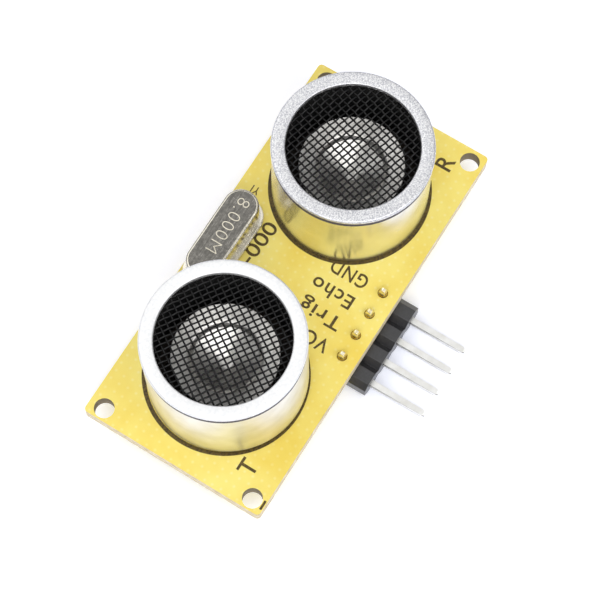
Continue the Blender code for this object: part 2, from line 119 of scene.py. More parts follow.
# FR4 laminate under yellow solder mask: the glass weave shows as rows of paler knots, the routed
# edge is bare, pale and rough, the drilled hole walls carry painted shade, and the block on the back is
# white
def solderMaskedLaminate():
    look = {"knotPitch": 0.93, "knotEven": 0.16, "knot": (0.8, 0.8, 0.8, 1.0), "mottle": 5.0,
            "grain": 0.13, "grainShare": 0.35, "ply": 0.2, "plyStretch": 0.25, "relief": 0.02,
            "maskGloss": 0.34, "edgeGloss": 0.8, "shadedHoleReach": (21.5, 9.75), "blockDepth": 0.01}
    material, tree, shader = newMaterial("solderMaskedLaminate", {"IOR": 1.5})
    spot = addNode(tree, "TexCoord").outputs["Object"]
    knots = addNode(tree, "TexVoronoi", {"voronoi_dimensions": "2D", "Randomness": look["knotEven"],
                                         "Scale": perMm(look["knotPitch"])}, {"Vector": spot})
    knotMask = addNode(tree, "ValToRGB", {"stops": [(0.04, look["knot"]), (0.22, black)]},
                       {"Fac": knots.outputs["Distance"]})
    mottle = addNode(tree, "TexNoise", {"Scale": perMm(look["mottle"]), "Detail": 3.0},
                     {"Vector": spot})
    grain = addNode(tree, "TexNoise", {"Scale": perMm(look["grain"]), "Detail": 2.0},
                    {"Vector": spot})
    knotWeight = addNode(tree, "Math", {"operation": "MULTIPLY"},
                         {0: knotMask.outputs["Color"], 1: mottle.outputs["Fac"]})
    ground = addNode(tree, "ValToRGB",
                     {"stops": [(0.3, linear("F1D557")), (0.7, linear("F9E87E"))]},
                     {"Fac": mottle.outputs["Fac"]})
    mask = addNode(tree, "Mix", {"data_type": "RGBA", 7: linear("FCF0AC")},
                   {0: knotWeight.outputs[0], 6: ground.outputs["Color"]})
    layered = addNode(tree, "Mapping", {"Scale": (look["plyStretch"], look["plyStretch"], 1.0)},
                      {"Vector": spot})
    plies = addNode(tree, "TexNoise", {"Scale": perMm(look["ply"]), "Detail": 3.0},
                    {"Vector": layered.outputs[0]})
    cutEdge = addNode(tree, "ValToRGB",
                      {"stops": [(0.3, linear("C9B27E")), (0.62, linear("F3E7CC"))]},
                      {"Fac": plies.outputs["Fac"]})
    facing = addNode(tree, "NewGeometry")
    upright = addNode(tree, "SeparateXYZ", {}, {0: facing.outputs["Normal"]})
    flat = addNode(tree, "Math", {"operation": "ABSOLUTE"}, {0: upright.outputs["Z"]})
    onEdge = addNode(tree, "Math", {"operation": "LESS_THAN", 1: 0.5}, {0: flat.outputs[0]})
    parts = addNode(tree, "SeparateXYZ", {}, {0: spot})
    # hole walls, inside the board's outline, get a darker colour: painted shade
    inX = addNode(tree, "Math", {"operation": "COMPARE", 1: 0.0, 2: look["shadedHoleReach"][0] * mm},
                  {0: parts.outputs["X"]})
    inY = addNode(tree, "Math", {"operation": "COMPARE", 1: 0.0, 2: look["shadedHoleReach"][1] * mm},
                  {0: parts.outputs["Y"]})
    inShadedHole = addNode(tree, "Math", {"operation": "MULTIPLY"}, {0: inX.outputs[0], 1: inY.outputs[0]})
    wall = addNode(tree, "Mix", {"data_type": "RGBA", 7: linear("8E826C")},
                   {0: inShadedHole.outputs[0], 6: cutEdge.outputs["Color"]})
    colour = addNode(tree, "Mix", {"data_type": "RGBA"},
                     {0: onEdge.outputs[0], 6: mask.outputs[2], 7: wall.outputs[2]})
    gloss = addNode(tree, "MapRange", {"To Min": look["maskGloss"], "To Max": look["edgeGloss"]},
                    {"Value": onEdge.outputs[0]})
    relief = addNode(tree, "Math", {"operation": "MULTIPLY_ADD", 1: look["grainShare"]},
                     {0: grain.outputs["Fac"], 2: knotWeight.outputs[0]})
    bump = addNode(tree, "Bump", {"Strength": 0.25, "Distance": look["relief"] * mm},
                   {"Height": relief.outputs[0]})
    onBlock = addNode(tree, "Math", {"operation": "LESS_THAN", 1: look["blockDepth"] * mm},
                      {0: parts.outputs["Z"]})
    printed = addNode(tree, "Mix", {"data_type": "RGBA", 7: linear("E9E6DC")},
                      {0: onBlock.outputs[0], 6: colour.outputs[2]})
    tree.links.new(printed.outputs[2], shader.inputs["Base Color"])
    tree.links.new(gloss.outputs[0], shader.inputs["Roughness"])
    tree.links.new(bump.outputs[0], shader.inputs["Normal"])
    return material


# screen-printed epoxy ink: thin, so the yellow below warms it and its edges are uneven
def screenPrintedInk():
    look = {"blotch": 0.22, "relief": 0.01}
    material, tree, shader = newMaterial("screenPrintedInk", {"Roughness": 0.55, "IOR": 1.5})
    spot = addNode(tree, "TexCoord").outputs["Object"]
    cover = addNode(tree, "TexNoise", {"Scale": perMm(look["blotch"]), "Detail": 3.0},
                    {"Vector": spot})
    colour = addNode(tree, "ValToRGB",
                     {"stops": [(0.35, linear("3C2F08")), (0.72, linear("6A5518"))]},
                     {"Fac": cover.outputs["Fac"]})
    bump = addNode(tree, "Bump", {"Strength": 0.3, "Distance": look["relief"] * mm},
                   {"Height": cover.outputs["Fac"]})
    wireUp(tree, shader, colour, None, bump)
    return material


# deep-drawn aluminium, polished by the die: mirrors the board, with faint rings round it
def drawnAluminium(name, rough):
    look = {"ring": 0.12, "ringStretch": 0.03, "cloud": 2.4, "relief": 0.008, "glossRange": 0.05}
    material, tree, shader = newMaterial(name, {"Metallic": 1.0})
    spot = addNode(tree, "TexCoord").outputs["Object"]
    rings = addNode(tree, "Mapping", {"Scale": (look["ringStretch"], look["ringStretch"], 1.0)},
                    {"Vector": spot})
    lines = addNode(tree, "TexNoise", {"Scale": perMm(look["ring"]), "Detail": 2.0},
                    {"Vector": rings.outputs[0]})
    cloud = addNode(tree, "TexNoise", {"Scale": perMm(look["cloud"]), "Detail": 4.0},
                    {"Vector": spot})
    colour = addNode(tree, "ValToRGB",
                     {"stops": [(0.3, linear("E2E1DE")), (0.7, linear("F4F4F2"))]},
                     {"Fac": cloud.outputs["Fac"]})
    gloss = addNode(tree, "MapRange", {"To Min": rough - look["glossRange"],
                                       "To Max": rough + look["glossRange"]},
                    {"Value": cloud.outputs["Fac"]})
    bump = addNode(tree, "Bump", {"Strength": 0.12, "Distance": look["relief"] * mm},
                   {"Height": lines.outputs["Fac"]})
    wireUp(tree, shader, colour, gloss, bump)
    return material


# the same aluminium where it is rolled over and etched: a satin grain that catches the light
def etchedAluminium(name, settings):
    reliefDepth, glossRange = 0.02, 0.06
    material, tree, shader = newMaterial(name, {"Metallic": 1.0})
    spot = addNode(tree, "TexCoord").outputs["Object"]
    grain = addNode(tree, "TexNoise", {"Scale": perMm(settings["grain"]), "Detail": 3.0},
                    {"Vector": spot})
    colour = addNode(tree, "ValToRGB", {"stops": [(0.32, settings["low"]), (0.66, settings["high"])]},
                     {"Fac": grain.outputs["Fac"]})
    bump = addNode(tree, "Bump", {"Strength": settings["relief"], "Distance": reliefDepth * mm},
                   {"Height": grain.outputs["Fac"]})
    gloss = addNode(tree, "MapRange", {"To Min": settings["rough"] - glossRange,
                                       "To Max": settings["rough"] + glossRange},
                    {"Value": grain.outputs["Fac"]})
    wireUp(tree, shader, colour, gloss, bump)
    return material


# a plain moulded or pressed finish: two close colours in a fine grain, with matching relief
def grainedFinish(name, low, high, rough, metal=0.0, grain=0.3, relief=0.15):
    reliefDepth, glossRange = 0.015, 0.05
    material, tree, shader = newMaterial(name, {"Metallic": metal})
    spot = addNode(tree, "TexCoord").outputs["Object"]
    noise = addNode(tree, "TexNoise", {"Scale": perMm(grain), "Detail": 3.0}, {"Vector": spot})
    colour = addNode(tree, "ValToRGB", {"stops": [(0.3, linear(low)), (0.7, linear(high))]},
                     {"Fac": noise.outputs["Fac"]})
    gloss = addNode(tree, "MapRange", {"To Min": rough - glossRange, "To Max": rough + glossRange},
                    {"Value": noise.outputs["Fac"]})
    bump = addNode(tree, "Bump", {"Strength": relief, "Distance": reliefDepth * mm},
                   {"Height": noise.outputs["Fac"]})
    wireUp(tree, shader, colour, gloss, bump)
    return material


# pressed nickel silver with fine straight scratches along the can from tumbling
def tumbledNickelSilver(name, low, high):
    look = {"scratch": 0.16, "stretch": (0.12, 1.0, 1.0), "turn": (0.0, 0.0, 0.35), "speck": 0.25,
            "gloss": (0.16, 0.32), "relief": 0.01}
    material, tree, shader = newMaterial(name, {"Metallic": 1.0})
    spot = addNode(tree, "TexCoord").outputs["Object"]
    along = addNode(tree, "Mapping", {"Scale": look["stretch"], "Rotation": look["turn"]},
                    {"Vector": spot})
    scratches = addNode(tree, "TexNoise", {"Scale": perMm(look["scratch"]), "Detail": 4.0},
                        {"Vector": along.outputs[0]})
    speck = addNode(tree, "TexNoise", {"Scale": perMm(look["speck"]), "Detail": 3.0},
                    {"Vector": spot})
    wear = addNode(tree, "Math", {"operation": "MULTIPLY"},
                   {0: scratches.outputs["Fac"], 1: speck.outputs["Fac"]})
    colour = addNode(tree, "ValToRGB", {"stops": [(0.15, linear(low)), (0.42, linear(high))]},
                     {"Fac": wear.outputs[0]})
    gloss = addNode(tree, "MapRange", {"From Min": 0.1, "From Max": 0.45,
                                       "To Min": look["gloss"][0], "To Max": look["gloss"][1]},
                    {"Value": wear.outputs[0]})
    bump = addNode(tree, "Bump", {"Strength": 0.12, "Distance": look["relief"] * mm},
                   {"Height": scratches.outputs["Fac"]})
    wireUp(tree, shader, colour, gloss, bump)
    return material


laminate = solderMaskedLaminate()
ink = screenPrintedInk()
# blurs the board into a soft yellow glow
drawnSatin = drawnAluminium("drawnAluminiumSatin", 0.38)
# sharper, so the print below shows in it
drawn = drawnAluminium("drawnAluminiumBright", 0.25)
# an even white satin
smoothRim = etchedAluminium("etchedAluminiumFine", {
    "grain": 0.3, "low": linear("F4F5F6"), "high": linear("FFFFFF"), "relief": 0.1, "rough": 0.6})
# a sparkling grey and white grain
grainedRim = etchedAluminium("etchedAluminiumCoarse", {
    "grain": 0.13, "low": linear("BEBFC6"), "high": linear("FFFFFF"), "relief": 0.55, "rough": 0.48})
# a soft highlight that rolls round the bowl
hornMetal = etchedAluminium("pressedHornAluminium", {
    "grain": 0.5, "low": linear("E2DFDA"), "high": linear("F8F6F2"), "relief": 0.1, "rough": 0.3})
# painted shade in the groove under the rim: dull, dark and faintly violet, so the rim reads as a
# separate roll of metal
grooveShade = grainedFinish("paintedShadeInGroove", "353138", "625D66", 0.6)
# satin black, with a thin glint along the top of each wire
blackWire = grainedFinish("blackOxidisedWire", "060606", "121213", 0.34, 0.0, 0.12, 0.3)
blackWire.node_tree.nodes["Principled BSDF"].inputs["Specular IOR Level"].default_value = 0.3
# matt black that loses its own shape in the depth of the can
nylonBlack = grainedFinish("mouldedNylonBlack", "0B0B0D", "141416", 0.6, 0.0, 0.2, 0.2)
# glossier black: its flat tops turn grey under the light and its slopes stay black
headerBlack = grainedFinish("mouldedHeaderNylon", "1E1E20", "2B2B2E", 0.3, 0.0, 0.25, 0.25)
headerBlack.node_tree.nodes["Principled BSDF"].inputs["Specular IOR Level"].default_value = 0.9
# warm grey metal with straight fine scratches; the top gets a darker copy of it, which is painted shade
nickelTopPaintedShade = tumbledNickelSilver("tumbledNickelSilver", "6E6C67", "928F89")
nickelSilver = tumbledNickelSilver("pressedNickelSilver", "C8C3B5", "E6E1D4")
# a frosted cream line that stays pale from every side
engraving = grainedFinish("laserFrostedNickel", "DDD6C2", "F4EEDC", 0.6, 0.4, 0.12, 0.3)
# clean white metal on the plated faces; a duller grey copy on the two sides is painted shade
tinnedPin = grainedFinish("tinPlatedBrass", "F0EFEA", "FFFFFD", 0.3, 1.0, 0.9, 0.04)
pinSidePaintedShade = grainedFinish("tinnedBrassPaintedShade", "9A9894", "BDBBB6", 0.42, 1.0, 0.3, 0.1)
# pale gold cut ends standing in a darker collar; the solder's gold-brown is a painted reflection of the
# yellow board, and its darker tone painted shade
goldStub = grainedFinish("cutBrassStub", "F2E2AC", "FFFBEA", 0.3, 1.0, 0.3, 0.1)
solderMetal = grainedFinish("reflowedSolder", "8E7434", "D2B870", 0.2, 1.0, 0.35, 0.3)
# plain bright metal, a little warm
tinnedSteel = grainedFinish("tinnedSteel", "CFCDC6", "E9E8E2", 0.27, 1.0, 0.3, 0.1)
# dry dark grey with the fine pitting of a filled resin
epoxy = grainedFinish("transferMouldedEpoxy", "1B1B1D", "2A2A2D", 0.6, 0.0, 0.1, 0.4)

finishes = {
    "solder_mask_yellow": laminate,
    "spun_aluminium": drawn,
    "pressed_aluminium": hornMetal,
    "black_wire_cloth": blackWire,
    "black_nylon": nylonBlack,
    # brown board with a dull fibrous mottle
    "phenolic": grainedFinish("paperPhenolic", "2A211A", "3E3026", 0.65, 0.0, 0.35, 0.3),
    "tinned_steel": tinnedSteel,
    # orange metal under a clear coat
    "enamelled_copper": grainedFinish("enamelledCopperWire", "A8552C", "CE7A45", 0.3, 0.8, 0.2, 0.1),
    # milky and softly shining
    "silicone": grainedFinish("castSilicone", "D8D6CE", "EDECE6", 0.5, 0.0, 0.3, 0.2),
    # sandy, fine and dry
    "piezo_ceramic": grainedFinish("firedPiezoCeramic", "B8A98C", "CDBFA4", 0.55, 0.0, 0.15, 0.25),
    "nickel_silver": nickelSilver,
    # cold white and nearly polished
    "quartz": grainedFinish("lappedQuartz", "D9E2E6", "EEF3F5", 0.15, 0.0, 0.3, 0.05),
    # dark green glass bead
    "sealing_glass": grainedFinish("firedSealingGlass", "2F4A48", "4A6A66", 0.15, 0.0, 0.2, 0.1),
    "header_nylon": headerBlack,
    "tinned_brass": tinnedPin,
    "solder": solderMetal,
    "moulding_epoxy": epoxy,
    # glassy black
    "resistor_glaze": grainedFinish("resistorGlaze", "17171A", "242428", 0.35, 0.0, 0.15, 0.15),
    # tan and slightly rough
    "capacitor_ceramic": grainedFinish("firedCapacitorCeramic", "A98A66", "C2A27C", 0.5, 0.0, 0.1,
                                       0.2),
}
for cadNode in frame["nodes"].values():
    cadNode.material_slots[0].material = finishes[cadNode.material_slots[0].material.name]
print("materials:", len(bpy.data.materials))


# modelling helpers

# how close counts as the same: lengths in mm, angles in degrees
near = {"weld": 0.0005, "cadWeld": 0.001, "upright": 0.01, "cadFlat": 1.5, "cadSharp": 28}


def current():
    return bpy.context.view_layer.objects.active


def onlySelect(piece):
    bpy.ops.object.select_all(action="DESELECT")
    piece.select_set(True)
    bpy.context.view_layer.objects.active = piece


def editMode(mode="FACE"):
    bpy.ops.object.mode_set(mode="EDIT")
    bpy.ops.mesh.select_mode(type=mode)


def objectMode():
    bpy.ops.object.mode_set(mode="OBJECT")


def pick(piece, faces=None, edges=None, verts=None):
    # leaves selected only what passes the test: faces by centre and normal, the rest by place
    editMode("FACE" if faces else "EDGE" if edges else "VERT")
    bpy.ops.mesh.select_all(action="DESELECT")
    objectMode()
    mesh = piece.data
    if faces:
        for face in mesh.polygons:
            face.select = bool(faces(face.center / mm, face.normal))
    elif edges:
        for edge in mesh.edges:
            edge.select = bool(edges(*[mesh.vertices[i].co / mm for i in edge.vertices]))
    else:
        for vert in mesh.vertices:
            vert.select = bool(verts(vert.co / mm))
    bpy.ops.object.mode_set(mode="EDIT")


def closeUp(piece, name, materials, angle=30):
    # merges doubles, turns the normals out, smooths, and names the piece
    objectMode()
    onlySelect(piece)
    editMode("VERT")
    bpy.ops.mesh.select_all(action="SELECT")
    bpy.ops.mesh.remove_doubles(threshold=near["weld"] * mm)
    bpy.ops.mesh.normals_make_consistent(inside=False)
    objectMode()
    bpy.ops.object.shade_smooth_by_angle(angle=math.radians(angle))
    level = piece.modifiers.new("flatFacesStayFlat", "WEIGHTED_NORMAL")
    level.keep_sharp = True
    bpy.ops.object.modifier_apply(modifier=level.name)
    piece.name = name
    piece.data.name = name
    piece.data.materials.clear()
    for material in materials:
        piece.data.materials.append(material)
    return piece


def settle(piece, where):
    # moves the mesh to its place and leaves the object itself at the origin
    onlySelect(piece)
    piece.matrix_world = where
    bpy.ops.object.transform_apply(location=True, rotation=True, scale=True)
    return piece


def paint(piece, slotOf):
    # slotOf gives each face's material slot from its centre in mm and its normal
    for face in piece.data.polygons:
        face.material_index = slotOf(face.center / mm, face.normal)


def duplicateOf(piece, name):
    made = bpy.data.objects.new(name, piece.data.copy())
    made.data.name = name
    bpy.context.scene.collection.objects.link(made)
    return made


def joined(pieces):
    bpy.ops.object.select_all(action="DESELECT")
    for piece in pieces:
        piece.select_set(True)
    bpy.context.view_layer.objects.active = pieces[0]
    if len(pieces) > 1:
        bpy.ops.object.join()
    return pieces[0]


def isUpright(a, b):
    return abs(a.z - b.z) > near["upright"]


def keep(piece, slot, *replaced):
    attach(piece, body)
    if replaced:
        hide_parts(*replaced)
    return piece


def turned(name, profile, steps, materials, angle=30, closed=True):
    # a profile of (radius, height) in mm, spun round Z at the origin
    bpy.ops.object.select_all(action="DESELECT")
    bpy.ops.mesh.primitive_plane_add(size=0.1 * mm, location=(0, 0, 0))
    piece = current()
    editMode("VERT")
    bpy.ops.mesh.merge(type="CENTER")
    at = Vector((profile[0][0], 0, profile[0][1])) * mm
    bpy.ops.transform.translate(value=at)
    for radius, height in profile[1:]:
        goal = Vector((radius, 0, height)) * mm
        bpy.ops.mesh.extrude_vertices_move(TRANSFORM_OT_translate={"value": goal - at})
        at = goal
    if closed:
        count = len(profile)
        objectMode()
        for vert in piece.data.vertices:
            vert.select = vert.index in (0, count - 1)
        editMode("VERT")
        bpy.ops.mesh.edge_face_add()
    bpy.ops.mesh.select_all(action="SELECT")
    bpy.ops.mesh.spin(steps=steps, angle=math.tau, center=(0, 0, 0), axis=(0, 0, 1))
    return closeUp(piece, name, materials, angle)


def lozenge(name, sizes, low, high, steps=20):
    # a box with its ends rounded into half circles
    length, width = sizes
    almostAll, endWeld = 0.9995, 0.01
    bpy.ops.object.select_all(action="DESELECT")
    bpy.ops.mesh.primitive_cube_add(size=1, location=(0, 0, (low + high) / 2 * mm),
                                    scale=(length * mm, width * mm, (high - low) * mm))
    piece = current()
    bpy.ops.object.transform_apply(location=True, rotation=True, scale=True)
    pick(piece, edges=isUpright)
    bpy.ops.mesh.bevel(offset=width / 2 * mm * almostAll, segments=steps, affect="EDGES")
    bpy.ops.mesh.select_all(action="SELECT")
    bpy.ops.mesh.remove_doubles(threshold=endWeld * mm)
    return piece


def softCopy(nodeName, name, width, materials, segments=2, angle=30):
    # the CAD node's own shape, welded, with its sharp edges broken
    bpy.ops.object.select_all(action="DESELECT")
    piece = bpy.data.objects.new(name, frame["nodes"][nodeName].data.copy())
    bpy.context.scene.collection.objects.link(piece)
    onlySelect(piece)
    editMode("VERT")
    bpy.ops.mesh.select_all(action="SELECT")
    bpy.ops.mesh.remove_doubles(threshold=near["cadWeld"] * mm)
    bpy.ops.mesh.dissolve_limited(angle_limit=math.radians(near["cadFlat"]))
    objectMode()
    if width:
        bevel = piece.modifiers.new("brokenEdges", "BEVEL")
        bevel.width = width * mm
        bevel.segments = segments
        bevel.limit_method = "ANGLE"
        bevel.angle_limit = math.radians(near["cadSharp"])
        bpy.ops.object.modifier_apply(modifier=bevel.name)
    return closeUp(piece, name, materials, angle)


def boxCentre(nodeName):
    low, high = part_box(nodeName)
    return (low + high) / 2


# camera, floor and light

view = {"aim": (-1.4, -2.7, 1.6), "place": (-62.30, -38.10, 200.32), "roll": 1.7, "lens": 127.2,
        "film": 36, "nearest": 0.01}
boardLow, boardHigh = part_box("pcb")
boardTop = boardHigh.z / mm
lens = bpy.data.cameras.new("viewer")
lens.lens = view["lens"]
lens.sensor_width = view["film"]
lens.clip_start = view["nearest"]
viewer = bpy.data.objects.new("viewer", lens)
viewer.location = Vector(view["place"]) * mm
sight = (Vector(view["aim"]) - Vector(view["place"])).to_track_quat("-Z", "Y")
viewer.rotation_euler = (sight @ Quaternion((0, 0, 1), math.radians(view["roll"]))).to_euler()
bpy.context.scene.collection.objects.link(viewer)
bpy.context.scene.camera = viewer
bpy.context.scene.view_settings.view_transform = "Standard"

# matt white paper with a faint blue glow of its own, so shadows on it stay pale and cool
studio = {"floorSize": 3.0, "floorGap": 0.02, "glow": (0.8, 0.84, 1.0, 1.0), "glowPower": 0.3,
          "tentPower": 0.64}
floorMaterial = newMaterial("whitePaperSweep", {
    "Base Color": linear("F4F5FA"), "Roughness": 0.9, "Emission Color": studio["glow"],
    "Emission Strength": studio["glowPower"]})[0]
bpy.ops.object.select_all(action="DESELECT")
bpy.ops.mesh.primitive_plane_add(size=studio["floorSize"],
                                 location=(0, 0, cadBox[0][2] - studio["floorGap"] * mm))
floor = current()
floor.name = "paperFloor"
floor.data.materials.append(floorMaterial)

# a tent that is dim at eye level and bright overhead, so upright metal gets dark and light bands
world = bpy.data.worlds.new("lightTent")
world.use_nodes = True
worldTree = world.node_tree
backdrop = worldTree.nodes["Background"]
skyward = addNode(worldTree, "TexCoord")
heights = addNode(worldTree, "SeparateXYZ", {}, {0: skyward.outputs["Generated"]})
tent = addNode(worldTree, "ValToRGB", {"stops": [
    (0.0, (0.55, 0.55, 0.57, 1)), (0.02, (0.2, 0.2, 0.21, 1)), (0.3, (0.25, 0.25, 0.26, 1)),
    (0.6, (0.85, 0.85, 0.86, 1)), (0.78, (1.1, 1.1, 1.1, 1)), (0.92, (1.3, 1.3, 1.3, 1))]},
    {"Fac": heights.outputs["Z"]})
worldTree.links.new(tent.outputs["Color"], backdrop.inputs["Color"])
backdrop.inputs["Strength"].default_value = studio["tentPower"]
bpy.context.scene.world = world


def softbox(name, place, sizes, power):
    light = bpy.data.lights.new(name, "AREA")
    light.shape = "RECTANGLE"
    light.size, light.size_y = sizes
    light.energy = power
    lamp = bpy.data.objects.new(name, light)
    lamp.location = place
    lamp.rotation_euler = (-Vector(place)).to_track_quat("-Z", "Y").to_euler()
    bpy.context.scene.collection.objects.link(lamp)


# one wide strip in front and to the left, for the sides of the cans, and one above and behind,
# for the board and the rims
softbox("frontSoftbox", (-0.20, -0.25, 0.46), (0.95, 0.16), 2.0)
softbox("keySoftbox", (0.0, 0.42, 0.56), (0.8, 0.5), 1.1)
print("camera, floor and light done")


# transducers: can, woven screen and horn are remade, one at the origin and a copy for each

def standOf(name):
    # foot and lean of a transducer, from its can's box and from its rim's mount
    rim = next(m for m in record["mounts"] if m["name"] == name + "_rim")
    axis = Vector(rim["axis"]).normalized()
    foot = boxCentre(name + "_can") - axis * (canSizes["height"] * mm) / 2
    return Matrix.Translation(foot) @ Vector((0, 0, 1)).rotation_difference(axis).to_matrix().to_4x4()


# the groove under the rim is shallow and closed by two short slopes; the foot has a small round
canSizes = {"height": 10.3, "radius": 7.8, "rim": 7.86, "mouth": 6.46, "bore": 7.42, "lipLow": 9.85,
            "lipBreak": 0.05, "rimRound": 0.22, "mouthRound": 0.16, "rimDeep": 0.34,
            "grooveStart": 0.38, "grooveTop": 0.40, "grooveBottom": 0.98, "grooveEnd": 1.03,
            "grooveIn": (0.03, 0.09, 0.1), "shadeFrom": 1.04, "shadeTo": 0.385,
            "foot": ((0.0, 0.16), (0.04, 0.06), (0.14, 0.0)), "footBreak": 0.04, "steps": 144}


def arc(centre, radius, side, degrees):
    return [(centre[0] + side * radius * math.sin(a), centre[1] + radius * math.cos(a))
            for a in (math.radians(d) for d in degrees)]


def canProfile():
    top, lip, lipBreak = (canSizes[k] for k in ("height", "lipLow", "lipBreak"))
    rim, radius, mouth, bore = (canSizes[k] for k in ("rim", "radius", "mouth", "bore"))
    outerRound, innerRound = canSizes["rimRound"], canSizes["mouthRound"]
    firstIn, topIn, lowIn = canSizes["grooveIn"]
    rolled = arc((rim - outerRound, top - outerRound), outerRound, 1, range(0, 91, 15))
    groove = [(rim, top - canSizes["rimDeep"]), (rim - firstIn, top - canSizes["grooveStart"]),
              (rim - topIn, top - canSizes["grooveTop"]), (rim - lowIn, top - canSizes["grooveBottom"]),
              (radius, top - canSizes["grooveEnd"])]
    foot = [(radius - inward, height) for inward, height in canSizes["foot"]]
    inside = [(bore + canSizes["footBreak"], 0.0), (bore, canSizes["footBreak"]), (bore, lip),
              (mouth + lipBreak, lip), (mouth, lip + lipBreak)]
    inner = arc((mouth + innerRound, top - innerRound), innerRound, -1, range(90, -1, -22))
    return rolled + groove + foot + inside + inner


def makeCan():
    can = turned("canMaster", canProfile(), canSizes["steps"], [drawnSatin, smoothRim, grooveShade], 25)
    # the band of the groove under the rim that gets the painted shade
    grooveLow = canSizes["height"] - canSizes["shadeFrom"]
    grooveHigh = canSizes["height"] - canSizes["shadeTo"]

    def slotOf(centre, normal):
        radius = math.hypot(centre.x, centre.y)
        if radius > canSizes["bore"] and grooveLow < centre.z < grooveHigh:
            return 2
        return 1 if centre.z > grooveHigh else 0

    paint(can, slotOf)
    return can


# the cloth is real wires: one wavy wire, its neighbour half a wave on, then repeated
cloth = {"wire": 0.18, "crimp": 0.07, "long": 0.67, "short": 0.54, "reach": 7.2, "middle": 9.67,
         "wave": ((0.32, 0.8), (0.18, 1.0), (0.18, 0.8), (0.32, 0.0))}


def wavyWire(pitch, count, sides=6):
    # runs along X from the middle out to both ends, going over one cross wire and under the next
    start = -(count - 1) / 2 * pitch
    rise = cloth["crimp"]
    bpy.ops.object.select_all(action="DESELECT")
    bpy.ops.mesh.primitive_circle_add(vertices=sides, radius=cloth["wire"] / 2 * mm,
                                      location=((start - pitch / 2) * mm, 0, 0),
                                      rotation=(0, math.pi / 2, 0))
    wire = current()
    bpy.ops.object.transform_apply(location=True, rotation=True, scale=True)
    editMode("EDGE")
    bpy.ops.mesh.select_all(action="SELECT")
    level = 0.0
    for crossing in range(count):
        side = 1 if crossing % 2 else -1
        for part, height in cloth["wave"]:
            step = Vector((part * pitch, 0, side * height * rise - level)) * mm
            bpy.ops.mesh.extrude_edges_move(TRANSFORM_OT_translate={"value": step})
            level = side * height * rise
    objectMode()
    return wire


def wireSet(pitch, spacing, flip):
    # every wire that runs one way, spaced across the disc
    count = 2 * math.ceil(cloth["reach"] / pitch) + 1
    rows = 2 * math.ceil(cloth["reach"] / spacing) + 1
    first = wavyWire(pitch, count)
    second = wavyWire(pitch, count)
    settle(second, Matrix.Translation((0, spacing * mm, 0)) @ Matrix.Rotation(math.pi, 4, "X"))
    joined([first, second])
    settle(first, Matrix.Translation((0, -(rows - 1) / 2 * spacing * mm, 0)))
    repeat = first.modifiers.new("rows", "ARRAY")
    repeat.count = (rows + 1) // 2
    repeat.use_relative_offset = False
    repeat.use_constant_offset = True
    repeat.constant_offset_displace = (0, 2 * spacing * mm, 0)
    bpy.ops.object.modifier_apply(modifier=repeat.name)
    if flip:
        settle(first, Matrix.Rotation(math.pi / 2, 4, "Z") @ Matrix.Rotation(math.pi, 4, "X"))
    return first


def makeScreen():
    along = wireSet(cloth["long"], cloth["short"], False)
    across = wireSet(cloth["short"], cloth["long"], True)
    joined([along, across])
    pick(along, verts=lambda spot: math.hypot(spot.x, spot.y) > cloth["reach"])
    bpy.ops.mesh.delete(type="VERT")
    bpy.ops.mesh.select_all(action="SELECT")
    bpy.ops.mesh.fill_holes(sides=8)
    closeUp(along, "screenMaster", [blackWire], 60)
    return settle(along, Matrix.Translation((0, 0, cloth["middle"] * mm)))


# the horn's profile follows the CAD cone's floor, shoulder and rim, with its corners rounded;
# each point is a step (radius, height) from one of the three
horn = {"floor": 3.17, "slope": 27, "slopeFrom": 0.85, "shoulder": (3.55, 4.98), "rim": (5.2, 5.6),
        "skin": 0.2, "dish": 0.02,
        "centre": ((0.0, 0.02), (0.25, 0.0), (0.42, 0.0), (0.55, 0.02), (0.75, 0.1)),
        "bowl": ((-0.42, -0.04), (-0.3, 0.03)),
        "bend": ((-0.12, -0.09), (0.04, 0.0), (0.3, 0.1)),
        "edge": ((-0.2, -0.05), (-0.06, 0.0), (0.0, -0.05)),
        "rimBack": 0.02, "backBend": 0.12, "backFloor": ((1.2, 0.1), (1.0, 0.2), (0.0, 0.2))}


def makeHorn():
    floorZ, skin = horn["floor"], horn["skin"]
    shoulderR, shoulderZ = horn["shoulder"]
    rimR, rimZ = horn["rim"]
    slope = math.tan(math.radians(horn["slope"]))
    bowlZ = floorZ + horn["dish"] + (shoulderR - horn["slopeFrom"]) * slope
    inside = [(r, floorZ + z) for r, z in horn["centre"]]
    inside += [(shoulderR + r, bowlZ + z) for r, z in horn["bowl"]]
    inside += [(shoulderR + r, shoulderZ + z) for r, z in horn["bend"]]
    inside += [(rimR + r, rimZ + z) for r, z in horn["edge"]]
    outside = [(rimR - horn["rimBack"], rimZ - skin), (shoulderR + horn["backBend"], shoulderZ - skin)]
    outside += [(r, floorZ - z) for r, z in horn["backFloor"]]
    return turned("hornMaster", inside + outside, 96, [hornMetal], 35, closed=False)


canMaster = makeCan()
screenMaster = makeScreen()
hornMaster = makeHorn()
# the turn of its weave, and what its can's side and rim are made of
transducers = {"transmitter": (-33, drawnSatin, smoothRim), "receiver": (-16, drawn, grainedRim)}
for name, (weaveTurn, sideMaterial, rimMaterial) in transducers.items():
    stand = standOf(name)
    can = settle(duplicateOf(canMaster, name + "Can"), stand)
    can.data.materials[0] = sideMaterial
    can.data.materials[1] = rimMaterial
    keep(can, "spun_aluminium", name + "_can")
    turnedCloth = stand @ Matrix.Rotation(math.radians(weaveTurn), 4, "Z")
    screen = settle(duplicateOf(screenMaster, name + "WireCloth"), turnedCloth)
    keep(screen, "black_wire_cloth", name + "_screen")
    cone = settle(duplicateOf(hornMaster, name + "Horn"), stand)
    keep(cone, "pressed_aluminium", name + "_cone")
for master in (canMaster, screenMaster, hornMaster):
    bpy.data.objects.remove(master)
print("transducers done")


# printing on the board's face

printing = {"thick": 0.015, "lift": 0.002, "ringRadius": 7.93, "inkAndShadeWidth": 0.42, "ringSteps": 144,
            "pinCap": 1.42, "endCap": 1.7, "curveSteps": 6}
